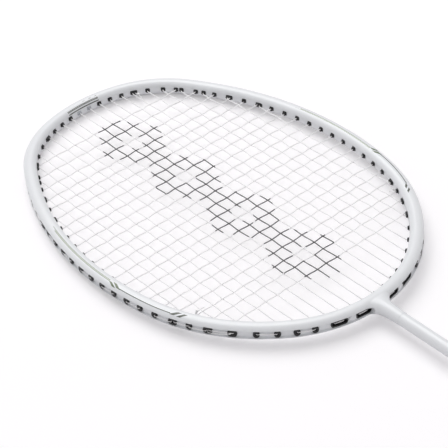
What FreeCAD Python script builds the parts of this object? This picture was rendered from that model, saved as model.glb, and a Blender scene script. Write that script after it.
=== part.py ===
import FreeCAD, Part
import math
import os

# Badminton racket, lying flat: string bed in the plane z = 0, long axis along +X.
# Origin: centre of the butt cap's end face. +X runs from the butt to the tip of the head,
# +Y is the left side of the head seen from above, +Z is up. Millimetres throughout.

Vector = FreeCAD.Vector

# --- overall ---------------------------------------------------------------
RACKET_LENGTH = 675.0

# --- head frame: inner wall as tangent arcs, from the tip round to the throat ---
TIP_RADIUS = 82.6
TIP_TURN = 17.0
SHOULDER_RADIUS = 60.7
SHOULDER_TURN = 41.0
FLANK_RADIUS = 201.8
FLANK_TURN = 43.5
HIP_RADIUS = 107.8
HIP_TURN = 41.4

# --- head frame: tube section ----------------------------------------------
FRAME_WIDTH = 8.0
FRAME_HEIGHT = 9.4
INNER_FLAT = 3.2
INNER_CORNER_RADIUS = 4.2
GROOVE_MOUTH = 4.8
GROOVE_FLOOR = 4.2
GROOVE_DEPTH = 1.2

# --- neck that runs from the head frame into the shaft ---------------------
NECK_LENGTH = 16.5
NECK_LIP = 0.15
NECK_SOCKET_DEPTH = 12.0
NECK_FLARE = 3.6
NECK_FLARE_POWER = 7
NECK_CROWN = 0.6
NECK_SECTIONS = (0.0, 0.35, 0.6, 0.8, 0.95)
NECK_OVERLAP = 3.7

# --- shaft and the joint inside it -----------------------------------------
SHAFT_DIAMETER = 7.4
SHAFT_BORE = 5.0
SHAFT_IN_HANDLE = 80.0
JOINT_STEM_LENGTH = 24.0
JOINT_HEAD_LENGTH = 8.0
BOND_GAP = 0.02
SLIDE_GAP = 0.05

# --- strings ----------------------------------------------------------------
MAIN_COUNT = 22
CROSS_COUNT = 21
STRING_DIAMETER = 0.7
STRING_SIDES = 4
WEAVE_LIFT = 0.78
SIDE_GAP = 8.8
THROAT_GAP = 36.0
TIP_GAP = 25.1
TIP_SPREAD = 1.17
SPREAD_CROSSES = 2
LOOP_STEP = 7.0
GROOVE_LANE = 0.4
TAIL_LANE = 1.2

# --- grommets ---------------------------------------------------------------
GROMMET_SIDES = 4
GROMMET_WIDTH = 2.6
GROMMET_BORE = 1.6
GROMMET_NIB = 1.2
FLANGE_WIDTH = 3.9
FLANGE_THICKNESS = 0.4
SHARED_SPREAD = 0.85
HOLE_GAP = 0.05
SEAT_GAP = 0.02
STRING_SEAT_GAP = 0.07

# --- twin grommets beside the neck ------------------------------------------
TWIN_SPREAD = 3.2
TWIN_EXIT = 2.7
TWIN_PLUG_DEPTH = 3.0
TWIN_RECESS_DEPTH = 1.2
TWIN_NECK_SHIFT = 2.2
TWIN_SLEEVE_END = 1.5

# --- tie-off knots -----------------------------------------------------------
KNOT_WIDTH = 1.7
KNOT_LENGTH = 1.6
KNOT_END_WIDTH = 1.0
KNOT_OFFSET = 0.95
KNOT_SIDES = 6
TAIL_LENGTH = 5.0
TAIL_RISE = 0.5
TAIL_LEAN = 0.3

# --- handle -------------------------------------------------------------------
HANDLE_WIDTH = 22.8
HANDLE_HEIGHT = 20.2
HANDLE_BEVEL = 5.6
HANDLE_LENGTH = 172.0
CORE_RECESS = 3.0
CORE_LIGHTENING_BORE = 11.0
CORE_WEB = 14.0
CAP_LENGTH = 26.0
CAP_WALL = 0.7
CAP_FLARE = 2.6
CAP_RIM = 6.0
CAP_ROUNDING = 2.0
CONE_BASE_LENGTH = 8.0
CONE_TAPER_LENGTH = 22.0
CONE_TIP_WALL = 0.9
CONE_WAIST = 0.45
CONE_STEPS = 6
CONE_SPIGOT_LENGTH = 6.0
CONE_SPIGOT_DIAMETER = 14.0
GRIP_THICKNESS = 1.7
GRIP_STEP_LENGTH = 3.0
GRIP_OVER_CONE = 7.0
BAND_WIDTH = 12.0
BAND_THICKNESS = 0.35

# --- derived ------------------------------------------------------------------
STRING_RADIUS = STRING_DIAMETER / 2
FLOOR_DEPTH = FRAME_WIDTH - GROOVE_DEPTH
FLANGE_TOP = FLOOR_DEPTH + SEAT_GAP + FLANGE_THICKNESS
GROOVE_SEAT = FLANGE_TOP + STRING_SEAT_GAP + STRING_RADIUS
TWIN_FLOOR = FLOOR_DEPTH + SEAT_GAP - TWIN_RECESS_DEPTH + FLANGE_THICKNESS
TWIN_SEAT = TWIN_FLOOR + STRING_SEAT_GAP + STRING_RADIUS
MOUTH = -(GROMMET_NIB + STRING_RADIUS)
LEFT = 1
RIGHT = -1


# ------------------------------------------------------------------------------
# Geometry of the head's outline
# ------------------------------------------------------------------------------
def head_arcs():
    """Inner wall of the left half: (centre_x, centre_y, radius, start, end) from tip to throat."""
    x = RACKET_LENGTH - FRAME_WIDTH
    y = 0.0
    angle = 0.0
    arcs = []
    for radius, turn in (
        (TIP_RADIUS, TIP_TURN),
        (SHOULDER_RADIUS, SHOULDER_TURN),
        (FLANK_RADIUS, FLANK_TURN),
        (HIP_RADIUS, HIP_TURN),
    ):
        centre_x = x - radius * math.cos(angle)
        centre_y = y - radius * math.sin(angle)
        end = angle + math.radians(turn)
        arcs.append((centre_x, centre_y, radius, angle, end))
        x = centre_x + radius * math.cos(end)
        y = centre_y + radius * math.sin(end)
        angle = end
    radius = y / math.sin(angle)
    arcs.append((x - radius * math.cos(angle), 0.0, radius, angle, math.pi))
    return arcs


ARCS = head_arcs()


def arc_at(angle):
    """The arc whose stretch of wall has this outward normal angle."""
    for arc in ARCS:
        if angle <= arc[4]:
            return arc
    return ARCS[-1]


def wall_point(turn, depth, z=0.0):
    """Point at a depth outside the inner wall; turn is the normal's angle, negative on the right."""
    centre_x, centre_y, radius, start, end = arc_at(abs(turn))
    reach = radius + depth
    x = centre_x + reach * math.cos(abs(turn))
    y = centre_y + reach * math.sin(abs(turn))
    return Vector(x, math.copysign(y, turn), z)


def wall_normal(turn):
    return Vector(math.cos(turn), math.sin(turn), 0)


def wall_tangent(turn):
    """Direction along the wall from the tip towards the throat."""
    side = math.copysign(1.0, turn)
    return Vector(-math.sin(turn) * side, math.cos(turn) * side, 0)


def turn_at_y(y, throat_end):
    """Normal angle where a lengthwise string at this y meets the inner wall."""
    for centre_x, centre_y, radius, start, end in ARCS:
        sine = (y - centre_y) / radius
        if abs(sine) > 1:
            continue
        angle = math.asin(sine)
        if throat_end:
            angle = math.pi - angle
        if start <= angle <= end:
            return angle
    raise ValueError("a main string misses the frame")


def turn_at_x(x):
    """Normal angle where a crosswise string at this x meets the inner wall."""
    for centre_x, centre_y, radius, start, end in ARCS:
        cosine = (x - centre_x) / radius
        if abs(cosine) <= 1 and start <= math.acos(cosine) <= end:
            return math.acos(cosine)
    raise ValueError("a cross string misses the frame")


TIP_X = wall_point(0.0, 0.0).x
THROAT_X = wall_point(math.pi, 0.0).x
NECK_ROOT_X = THROAT_X - FRAME_WIDTH
NECK_END_X = NECK_ROOT_X - NECK_LENGTH
SHAFT_END_X = NECK_END_X + NECK_SOCKET_DEPTH
HALF_WIDTH = wall_point(math.pi / 2, 0.0).y
MAIN_PITCH = 2 * (HALF_WIDTH - SIDE_GAP) / (MAIN_COUNT - 1)
CROSS_PITCH = (TIP_X - THROAT_X - THROAT_GAP - TIP_GAP) / (
    CROSS_COUNT - 1 + SPREAD_CROSSES * (TIP_SPREAD - 1)
)


def main_offset(number):
    """Distance from the racket's axis of a main string, counted from the middle outwards."""
    return (number + 0.5) * MAIN_PITCH


def cross_x(number):
    """Place of a cross string, counted from the tip."""
    x = TIP_X - TIP_GAP
    for step in range(number):
        x -= CROSS_PITCH * (TIP_SPREAD if step < SPREAD_CROSSES else 1)
    return x


# ------------------------------------------------------------------------------
# Holes: each is a turn on the wall, the same on both sides of the head
# ------------------------------------------------------------------------------
OUTER_MAIN = MAIN_COUNT // 2 - 1
LAST_CROSS = CROSS_COUNT - 1
LARGE_MAIN = 4
TWIN_MAINS = ((0, 1), (2, 3))


def floor_length(turn):
    """Length along the groove's floor from the middle of the tip to this turn."""
    length = 0.0
    for centre_x, centre_y, radius, start, end in ARCS:
        length += (radius + FLOOR_DEPTH) * max(0.0, min(turn, end) - start)
    return length


def shared_holes(throat_end):
    """Mains whose flange would meet a cross's, each with the cross it shares one long hole with."""
    places = [floor_length(turn_at_x(cross_x(cross))) for cross in range(CROSS_COUNT)]
    shared = {}
    for main in range(OUTER_MAIN + 1):
        place = floor_length(turn_at_y(main_offset(main), throat_end))
        gaps = [abs(cross_place - place) for cross_place in places]
        cross = gaps.index(min(gaps))
        if gaps[cross] < FLANGE_WIDTH + 2 * HOLE_GAP and cross not in shared.values():
            shared[main] = cross
    return shared


TIP_SHARED = shared_holes(False)
THROAT_SHARED = shared_holes(True)
MAIN_TIE_CROSS = LAST_CROSS - 2
CROSS_TIE_MAIN = OUTER_MAIN - 1


def main_hole(number, throat_end):
    """Turn of a main string's hole and its lane across that hole."""
    natural = turn_at_y(main_offset(number), throat_end)
    shared = THROAT_SHARED if throat_end else TIP_SHARED
    if number in shared:
        other = turn_at_x(cross_x(shared[number]))
        lane = math.copysign(SHARED_SPREAD, natural - other)
        if throat_end and number == CROSS_TIE_MAIN:
            lane = SHARED_SPREAD
        return (natural + other) / 2, lane
    if number == LARGE_MAIN and not throat_end:
        return natural, -SHARED_SPREAD
    return natural, 0.0


def cross_hole(number):
    """Turn of a cross string's hole and its lane across that hole."""
    natural = turn_at_x(cross_x(number))
    for shared, throat_end in ((TIP_SHARED, False), (THROAT_SHARED, True)):
        for main, cross in shared.items():
            if cross == number:
                turn, lane = main_hole(main, throat_end)
                return turn, -lane
    return natural, 0.0


def lane_point(turn, depth, lane, z):
    return wall_point(turn, depth, z) + wall_tangent(turn) * lane


def twin_slot(pair):
    """Turn of the slot that two neighbouring mains share at the throat."""
    middle = sum(main_hole(number, True)[0] for number in pair) / 2
    if 0 in pair:
        middle -= TWIN_NECK_SHIFT / (ARCS[-1][2] + FLOOR_DEPTH)
    return middle


def twin_passage(number, side):
    """Inner mouth and outer end of one main's way through its twin grommet."""
    pair = [mains for mains in TWIN_MAINS if number in mains][0]
    slot = twin_slot(pair)
    lane = TWIN_EXIT if number == pair[0] else -TWIN_EXIT
    inside = wall_point(side * main_hole(number, True)[0], MOUTH)
    outside = lane_point(side * slot, TWIN_SEAT, lane, 0.0)
    return inside, outside


# ------------------------------------------------------------------------------
# Small solids
# ------------------------------------------------------------------------------
def unit(vector):
    return vector * (1.0 / vector.Length)


def polygon_face(points):
    return Part.Face(Part.makePolygon(points + [points[0]]))


def stretched_prism(origin, along, across, width, spread, start, end):
    """Prism with GROMMET_SIDES flats about a line, pulled apart by spread each way across it."""
    upright = Vector(0, 0, 1)
    corner = width / 2 / math.cos(math.pi / GROMMET_SIDES)
    points = []
    for index in range(GROMMET_SIDES):
        angle = 2 * math.pi * (index + 0.5) / GROMMET_SIDES
        reach = corner * math.cos(angle)
        reach += math.copysign(spread, reach)
        points.append(origin + along * start + across * reach + upright * (corner * math.sin(angle)))
    return polygon_face(points).extrude(along * (end - start))


def cord(points, radius, sides):
    """Solid of a cord along straight runs, mitred at every point."""
    ahead = unit(points[1] - points[0])
    across = unit(ahead.cross(Vector(0, 0, 1)))
    upright = across.cross(ahead)
    ring = []
    for index in range(sides):
        angle = 2 * math.pi * index / sides
        offset = across * (radius * math.cos(angle)) + upright * (radius * math.sin(angle))
        ring.append(points[0] + offset)
    rings = [ring]
    for index in range(1, len(points)):
        before = unit(points[index] - points[index - 1])
        mitre = before
        if index < len(points) - 1:
            mitre = before + unit(points[index + 1] - points[index])
        ring = []
        for corner in rings[-1]:
            slide = (points[index] - corner).dot(mitre) / before.dot(mitre)
            ring.append(corner + before * slide)
        rings.append(ring)
    faces = [polygon_face(rings[0]), polygon_face(rings[-1])]
    for near, far in zip(rings, rings[1:]):
        for side in range(sides):
            following = (side + 1) % sides
            faces.append(polygon_face([near[side], near[following], far[following], far[side]]))
    shell = Part.Shell(faces)
    shell.sewShape()
    solid = Part.Solid(Part.Shell(shell.Faces))
    if solid.Volume < 0:
        solid.reverse()
    return solid


def octagon(x, width, height, bevel):
    """Closed wire of the handle's eight-sided section at a place along the racket."""
    half_width = width / 2
    half_height = height / 2
    corners = (
        (half_width - bevel, half_height),
        (half_width, half_height - bevel),
        (half_width, bevel - half_height),
        (half_width - bevel, -half_height),
        (bevel - half_width, -half_height),
        (-half_width, bevel - half_height),
        (-half_width, half_height - bevel),
        (bevel - half_width, half_height),
    )
    points = [Vector(x, y, z) for y, z in corners]
    return Part.makePolygon(points + [points[0]])


def grown_octagon(x, growth):
    """The handle's section grown outwards by the same amount on every flat."""
    bevel = HANDLE_BEVEL + growth * (2 - math.sqrt(2))
    return octagon(x, HANDLE_WIDTH + 2 * growth, HANDLE_HEIGHT + 2 * growth, bevel)


def ruled(sections):
    return Part.makeLoft(sections, True, True)


def rod(diameter, start, end):
    return Part.makeCylinder(diameter / 2, end - start, Vector(start, 0, 0), Vector(1, 0, 0))


# ------------------------------------------------------------------------------
# Head frame
# ------------------------------------------------------------------------------
def frame_section():
    """Half-round tube section with the string groove, r outwards from the inner wall and z up."""
    top = FRAME_HEIGHT / 2
    lip = GROOVE_MOUTH / 2
    floor = GROOVE_FLOOR / 2
    reach = FRAME_WIDTH - INNER_CORNER_RADIUS
    drop = top - lip
    outer_radius = (reach * reach + drop * drop) / (2 * drop)
    outer_turn = math.asin(reach / outer_radius)

    def inner_arc(share):
        angle = math.pi / 2 * share
        r = INNER_CORNER_RADIUS * (1 - math.cos(angle))
        z = INNER_FLAT / 2 + (top - INNER_FLAT / 2) * math.sin(angle)
        return r, z

    def outer_arc(share):
        angle = outer_turn * share
        r = INNER_CORNER_RADIUS + outer_radius * math.sin(angle)
        return r, top - outer_radius * (1 - math.cos(angle))

    def flip(point):
        return point[0], -point[1]

    inner = [inner_arc(share) for share in (0, 0.5, 1)]
    outer = [outer_arc(share) for share in (0, 0.5, 1)]
    groove = (FLOOR_DEPTH, floor)

    def place(point):
        return Vector(point[0], 0, point[1])

    def line(first, second):
        return Part.makeLine(place(first), place(second))

    def arc(points):
        return Part.Arc(*[place(point) for point in points]).toShape()

    edges = [
        line(flip(inner[0]), inner[0]),
        arc(inner),
        arc(outer),
        line(outer[2], groove),
        line(groove, flip(groove)),
        line(flip(groove), flip(outer[2])),
        arc([flip(point) for point in reversed(outer)]),
        arc([flip(point) for point in reversed(inner)]),
    ]
    return Part.Face(Part.Wire(edges))


def swept_stretch(section, arc, start, end):
    """The tube's section revolved about one arc's centre from one wall angle to another."""
    centre_x, centre_y, radius = arc[:3]
    stretch = section.copy()
    stretch.translate(Vector(centre_x + radius, centre_y, 0))
    centre = Vector(centre_x, centre_y, 0)
    stretch.rotate(centre, Vector(0, 0, 1), math.degrees(start))
    return stretch.revolve(centre, Vector(0, 0, 1), math.degrees(end - start))


def make_hoop():
    """The bent tube, arc by arc, with both halves meeting at the tip and the throat."""
    section = frame_section()
    tip = ARCS[0]
    throat = ARCS[-1]
    stretches = [swept_stretch(section, tip, -tip[4], tip[4])]
    stretches.append(swept_stretch(section, throat, throat[3], 2 * math.pi - throat[3]))
    for arc in ARCS[1:-1]:
        left = swept_stretch(section, arc, arc[3], arc[4])
        stretches.append(left)
        stretches.append(left.mirror(Vector(0, 0, 0), Vector(0, 1, 0)))
    return stretches[0].fuse(stretches[1:])


def oval(x, half_width, half_height):
    """Oval across the racket, as a closed wire that always starts in the same place."""
    stretch = FreeCAD.Matrix()
    stretch.scale(1, half_width, half_height)
    stretch.move(x, 0, 0)
    return Part.Wire(Part.makeCircle(1, Vector(0, 0, 0), Vector(1, 0, 0))).transformGeometry(stretch)


def make_neck():
    """Moulded fairing from the shaft's diameter to the width of the throat."""
    slim = SHAFT_DIAMETER / 2 + NECK_LIP
    sections = []
    for share in NECK_SECTIONS + (1 + NECK_OVERLAP / NECK_LENGTH,):
        half_height = slim + NECK_CROWN * min(share, 1)
        half_width = slim + NECK_CROWN * share + NECK_FLARE * share ** NECK_FLARE_POWER
        sections.append(oval(NECK_END_X + NECK_LENGTH * share, half_width, half_height))
    return Part.makeLoft(sections, True, False)


def hole_places():
    """Turns of the round holes and of the long two-string holes, for one side."""
    single = []
    long_holes = []
    for number in range(OUTER_MAIN + 1):
        for throat_end in (False, True):
            turn = main_hole(number, throat_end)[0]
            shared = THROAT_SHARED if throat_end else TIP_SHARED
            if throat_end and number in TWIN_MAINS[0] + TWIN_MAINS[1]:
                continue
            if number in shared or (number == LARGE_MAIN and not throat_end):
                long_holes.append(turn)
            else:
                single.append(turn)
    taken = list(TIP_SHARED.values()) + list(THROAT_SHARED.values())
    for number in range(CROSS_COUNT):
        if number not in taken:
            single.append(cross_hole(number)[0])
    return sorted(single), sorted(long_holes)


def through_prism(turn, width, spread, start, end):
    """Prism square to the wall; start and end are depths outside the inner wall."""
    origin = wall_point(turn, 0.0)
    return stretched_prism(origin, wall_normal(turn), wall_tangent(turn), width, spread, start, end)


def drill_tools():
    """All the cutters for the grommet holes, both sides of the head."""
    single, long_holes = hole_places()
    width = GROMMET_WIDTH + 2 * HOLE_GAP
    reach = FRAME_WIDTH
    tools = []
    for side in (LEFT, RIGHT):
        for turn in single:
            tools.append(through_prism(side * turn, width, 0.0, -reach, 2 * reach))
        for turn in long_holes:
            tools.append(through_prism(side * turn, width, SHARED_SPREAD, -reach, 2 * reach))
        for pair in TWIN_MAINS:
            slot = side * twin_slot(pair)
            bottom = FLOOR_DEPTH - TWIN_PLUG_DEPTH - HOLE_GAP
            tools.append(through_prism(slot, width, TWIN_SPREAD, bottom, 2 * reach))
            pocket_width = FLANGE_WIDTH + 2 * HOLE_GAP
            tools.append(through_prism(slot, pocket_width, TWIN_SPREAD, FLOOR_DEPTH, 2 * reach))
            for number in pair:
                inside, outside = twin_passage(number, side)
                along = unit(outside - inside)
                across = along.cross(Vector(0, 0, 1))
                length = (outside - inside).Length - TWIN_SLEEVE_END + HOLE_GAP
                tools.append(stretched_prism(inside, along, across, width, 0.0, -reach, length))
    return tools


def make_head_frame():
    frame = make_hoop().fuse(make_neck())
    bore = rod(SHAFT_DIAMETER + 2 * BOND_GAP, NECK_END_X - 1, SHAFT_END_X + JOINT_HEAD_LENGTH + BOND_GAP)
    return frame.cut([bore] + drill_tools())


# ------------------------------------------------------------------------------
# Shaft and the joint between shaft and head
# ------------------------------------------------------------------------------
def make_shaft():
    start = HANDLE_LENGTH - SHAFT_IN_HANDLE
    return rod(SHAFT_DIAMETER, start, SHAFT_END_X).cut(rod(SHAFT_BORE, start - 1, SHAFT_END_X + 1))


def make_throat_joint():
    """Internal dowel: a stem bonded in the shaft's bore and a head bonded in the neck."""
    stem = rod(SHAFT_BORE - 2 * BOND_GAP, SHAFT_END_X - JOINT_STEM_LENGTH, SHAFT_END_X + 1)
    head = rod(SHAFT_DIAMETER, SHAFT_END_X, SHAFT_END_X + JOINT_HEAD_LENGTH)
    return stem.fuse(head)


# ------------------------------------------------------------------------------
# Grommets
# ------------------------------------------------------------------------------
def make_grommet(turn, spread):
    """Sleeve through the frame with a nib inside the hoop and a flange in the groove."""
    seat = FLOOR_DEPTH + SEAT_GAP
    sleeve = through_prism(turn, GROMMET_WIDTH, spread, -GROMMET_NIB, seat + FLANGE_THICKNESS / 2)
    flange = through_prism(turn, FLANGE_WIDTH, spread, seat, FLANGE_TOP)
    bore = through_prism(turn, GROMMET_BORE, spread, -2 * GROMMET_NIB, FLANGE_TOP + 1)
    return sleeve.fuse(flange).cut(bore)


def make_twin_grommet(pair, side):
    """One moulding with a long recessed slot outside and two sleeves to the inside."""
    slot = side * twin_slot(pair)
    seat = FLOOR_DEPTH + SEAT_GAP
    plug = through_prism(slot, GROMMET_WIDTH, TWIN_SPREAD, FLOOR_DEPTH - TWIN_PLUG_DEPTH, FLANGE_TOP)
    flange = through_prism(slot, FLANGE_WIDTH, TWIN_SPREAD, seat, FLANGE_TOP)
    recess = through_prism(slot, GROMMET_BORE, TWIN_SPREAD, TWIN_FLOOR, FLANGE_TOP + 1)
    sleeves = []
    bores = []
    for number in pair:
        inside, outside = twin_passage(number, side)
        along = unit(outside - inside)
        across = along.cross(Vector(0, 0, 1))
        length = (outside - inside).Length
        end = length - TWIN_SLEEVE_END
        sleeves.append(stretched_prism(inside, along, across, GROMMET_WIDTH, 0.0, STRING_RADIUS, end))
        bores.append(stretched_prism(inside, along, across, GROMMET_BORE, 0.0, -1, length))
    return plug.fuse([flange] + sleeves).cut([recess] + bores)


def grommet_groups():
    """Solids of every grommet, by the node they belong to."""
    centre = []
    tip = []
    flank = {LEFT: [], RIGHT: []}
    throat = []
    shared = []
    large = []
    twin = []
    taken = list(TIP_SHARED.values()) + list(THROAT_SHARED.values())
    for side in (LEFT, RIGHT):
        for number in range(OUTER_MAIN + 1):
            turn = main_hole(number, False)[0]
            if number == 0:
                centre.append(make_grommet(side * turn, 0.0))
            elif number == LARGE_MAIN:
                large.append(make_grommet(side * turn, SHARED_SPREAD))
            elif number in TIP_SHARED:
                shared.append(make_grommet(side * turn, SHARED_SPREAD))
            else:
                tip.append(make_grommet(side * turn, 0.0))
            turn = main_hole(number, True)[0]
            if number in THROAT_SHARED:
                shared.append(make_grommet(side * turn, SHARED_SPREAD))
            elif number not in TWIN_MAINS[0] + TWIN_MAINS[1]:
                throat.append(make_grommet(side * turn, 0.0))
        for number in range(CROSS_COUNT):
            if number not in taken:
                flank[side].append(make_grommet(side * cross_hole(number)[0], 0.0))
        for pair in TWIN_MAINS:
            twin.append(make_twin_grommet(pair, side))
    return {
        "centre_grommets": centre,
        "tip_grommets": tip,
        "left_grommets": flank[LEFT],
        "right_grommets": flank[RIGHT],
        "throat_grommets": throat,
        "shared_grommets": shared,
        "tie_off_grommets": large,
        "twin_grommets": twin,
    }


# ------------------------------------------------------------------------------
# Strings
# ------------------------------------------------------------------------------
def groove_run(first, last, z):
    """Points along the groove between two turns, without its ends; the runs just clear the flanges."""
    radius = arc_at((abs(first) + abs(last)) / 2)[2]
    steps = max(2, math.ceil(abs(last - first) * (radius + GROOVE_SEAT) / LOOP_STEP))
    step_turn = (last - first) / steps
    depth = (radius + GROOVE_SEAT) / math.cos(step_turn / 2) - radius
    return [wall_point(first + step_turn * step, depth, z) for step in range(1, steps)]


def main_mouth(number, side, throat_end):
    """Where a main string passes the inner end of its grommet."""
    if throat_end and number in TWIN_MAINS[0] + TWIN_MAINS[1]:
        return twin_passage(number, side)[0]
    turn, lane = main_hole(number, throat_end)
    return lane_point(side * turn, MOUTH, lane, 0.0)


def main_outlet(number, side, throat_end):
    """Where a main string turns into the groove, or lies in its twin slot."""
    if throat_end and number in TWIN_MAINS[0] + TWIN_MAINS[1]:
        return twin_passage(number, side)[1]
    turn, lane = main_hole(number, throat_end)
    return lane_point(side * turn, GROOVE_SEAT, lane, GROOVE_LANE)


def main_list():
    """Every main as (number from the middle, side), from the right edge to the left."""
    right = [(number, RIGHT) for number in range(OUTER_MAIN, -1, -1)]
    left = [(number, LEFT) for number in range(OUTER_MAIN + 1)]
    return right + left


def tie_end(side):
    """Path of a main string's end: out at its last hole, along the groove and in to its knot."""
    turn = cross_hole(MAIN_TIE_CROSS)[0]
    last = main_hole(OUTER_MAIN, True)[0]
    path = [main_outlet(OUTER_MAIN, side, True)]
    path += groove_run(side * last, side * turn, GROOVE_LANE)
    path.append(wall_point(side * turn, GROOVE_SEAT, GROOVE_LANE))
    path.append(wall_point(side * turn, -GROMMET_NIB, GROOVE_LANE))
    path.append(wall_point(side * turn, -GROMMET_NIB - KNOT_OFFSET, GROOVE_LANE + KNOT_OFFSET))
    return path


def make_main_string():
    """One string through all the mains, with its loops in the groove and both ends tied."""
    points = list(reversed(tie_end(RIGHT)))
    mains = main_list()
    for index, (number, side) in enumerate(mains):
        upward = index % 2 == 0
        points.append(main_mouth(number, side, upward))
        points.append(main_mouth(number, side, not upward))
        if index == len(mains) - 1:
            break
        points.append(main_outlet(number, side, not upward))
        following, following_side = mains[index + 1]
        twin = not upward and number in TWIN_MAINS[0] + TWIN_MAINS[1]
        if not twin:
            start = side * main_hole(number, not upward)[0]
            end = following_side * main_hole(following, not upward)[0]
            points += groove_run(start, end, GROOVE_LANE)
        points.append(main_outlet(following, following_side, not upward))
    points += tie_end(LEFT)
    return cord(points, STRING_RADIUS, STRING_SIDES)


def meeting_point(first, second, third, fourth):
    """Where two level lines cross, each given by two points."""
    along = second - first
    other = fourth - third
    gap = third - first
    share = (gap.x * other.y - gap.y * other.x) / (along.x * other.y - along.y * other.x)
    return first + along * share


def cross_mouth(number, side):
    """Where a cross string passes the inner end of its grommet."""
    turn, lane = cross_hole(number)
    return lane_point(side * turn, MOUTH, lane, 0.0)


def cross_outlet(number, side):
    turn, lane = cross_hole(number)
    return lane_point(side * turn, GROOVE_SEAT, lane, -GROOVE_LANE)


def woven_run(number):
    """One cross from right to left, over and under every main that it meets."""
    start = cross_mouth(number, RIGHT)
    end = cross_mouth(number, LEFT)
    crossings = []
    for index, (main, side) in enumerate(main_list()):
        top = main_mouth(main, side, False)
        bottom = main_mouth(main, side, True)
        point = meeting_point(start, end, top, bottom)
        inside = min(point.y - start.y, end.y - point.y, top.x - point.x, point.x - bottom.x)
        if inside < STRING_RADIUS:
            continue
        lift = WEAVE_LIFT if (index + number) % 2 == 0 else -WEAVE_LIFT
        crossings.append(Vector(point.x, point.y, lift))
    for mouth, neighbour in ((start, crossings[0]), (end, crossings[-1])):
        mouth.z = math.copysign(GROOVE_LANE, neighbour.z)
        if number == MAIN_TIE_CROSS:
            mouth.z = -GROOVE_LANE
    return [start] + crossings + [end]


def cross_start():
    """Knotted start of the cross string: from the long tip hole along the groove to the first cross."""
    turn = -main_hole(LARGE_MAIN, False)[0]
    first = -cross_hole(0)[0]
    path = [lane_point(turn, -GROMMET_NIB - KNOT_OFFSET, SHARED_SPREAD + KNOT_OFFSET, 0.0)]
    path.append(lane_point(turn, -GROMMET_NIB, SHARED_SPREAD, 0.0))
    path.append(lane_point(turn, GROOVE_SEAT, SHARED_SPREAD, -GROOVE_LANE))
    path += groove_run(turn, first, -GROOVE_LANE)
    return path


def cross_finish():
    """Knotted end of the cross string: back along the groove, over two holes, and in."""
    last = cross_hole(LAST_CROSS)[0]
    turn = main_hole(CROSS_TIE_MAIN, True)[0]
    path = [cross_outlet(LAST_CROSS, LEFT)]
    path += groove_run(last, turn, -TAIL_LANE)
    path.append(wall_point(turn, GROOVE_SEAT, -TAIL_LANE))
    path.append(wall_point(turn, GROOVE_SEAT - STRING_DIAMETER, -GROOVE_LANE))
    path.append(wall_point(turn, -GROMMET_NIB, -GROOVE_LANE))
    path.append(wall_point(turn, -GROMMET_NIB - KNOT_OFFSET, -GROOVE_LANE - KNOT_OFFSET))
    return path


def make_cross_string():
    """One string through all the crosses, woven over and under the mains."""
    points = cross_start()
    for number in range(CROSS_COUNT):
        run = woven_run(number)
        side = RIGHT
        if number % 2 == 1:
            run.reverse()
            side = LEFT
        points.append(cross_outlet(number, side))
        points += run
        if number == LAST_CROSS:
            break
        points.append(cross_outlet(number, -side))
        start = -side * cross_hole(number)[0]
        end = -side * cross_hole(number + 1)[0]
        points += groove_run(start, end, -GROOVE_LANE)
    points += cross_finish()
    return cord(points, STRING_RADIUS, STRING_SIDES)


# ------------------------------------------------------------------------------
# Tie-off knots
# ------------------------------------------------------------------------------
def make_knot(path, tail):
    """Barrel-shaped knot on the end of a string's path, with its cut tail."""
    start = path[-1]
    along = unit(start - path[-2])
    across = unit(along.cross(Vector(0, 0, 1)))
    upright = across.cross(along)
    wires = []
    for share, width in ((0, KNOT_END_WIDTH), (0.5, KNOT_WIDTH), (1, KNOT_END_WIDTH)):
        points = []
        for index in range(KNOT_SIDES):
            angle = 2 * math.pi * index / KNOT_SIDES
            offset = across * (width / 2 * math.cos(angle)) + upright * (width / 2 * math.sin(angle))
            points.append(start + along * (KNOT_LENGTH * share) + offset)
        wires.append(Part.makePolygon(points + [points[0]]))
    middle = start + along * (KNOT_LENGTH / 2)
    end = cord([middle, middle + unit(tail) * TAIL_LENGTH], STRING_RADIUS, STRING_SIDES)
    return ruled(wires).fuse(end)


def make_knots():
    """The four tie-offs: both ends of the mains, then the start and the end of the crosses."""
    knots = []
    for side in (LEFT, RIGHT):
        turn = side * cross_hole(MAIN_TIE_CROSS)[0]
        tail = wall_tangent(turn) - wall_normal(turn) + Vector(0, 0, TAIL_RISE)
        knots.append(make_knot(tie_end(side), tail))
    turn = -main_hole(LARGE_MAIN, False)[0]
    tail = wall_tangent(turn) * TAIL_LEAN - wall_normal(turn)
    knots.append(make_knot(list(reversed(cross_start())), tail))
    turn = main_hole(CROSS_TIE_MAIN, True)[0]
    tail = -wall_tangent(turn) - wall_normal(turn) - Vector(0, 0, TAIL_RISE)
    knots.append(make_knot(cross_finish(), tail))
    return knots


# ------------------------------------------------------------------------------
# Handle
# ------------------------------------------------------------------------------
def make_handle_core():
    """Eight-sided wooden handle, bored for the shaft in front and lightened behind."""
    core = ruled([grown_octagon(CORE_RECESS, 0.0), grown_octagon(HANDLE_LENGTH, 0.0)])
    bore_start = HANDLE_LENGTH - SHAFT_IN_HANDLE
    shaft_bore = rod(SHAFT_DIAMETER + 2 * BOND_GAP, bore_start, HANDLE_LENGTH + 1)
    socket_start = HANDLE_LENGTH - CONE_SPIGOT_LENGTH - SLIDE_GAP
    socket = rod(CONE_SPIGOT_DIAMETER + 2 * BOND_GAP, socket_start, HANDLE_LENGTH + 1)
    hollow = rod(CORE_LIGHTENING_BORE, CORE_RECESS - 1, bore_start - CORE_WEB)
    return core.cut([shaft_bore, socket, hollow])


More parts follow.
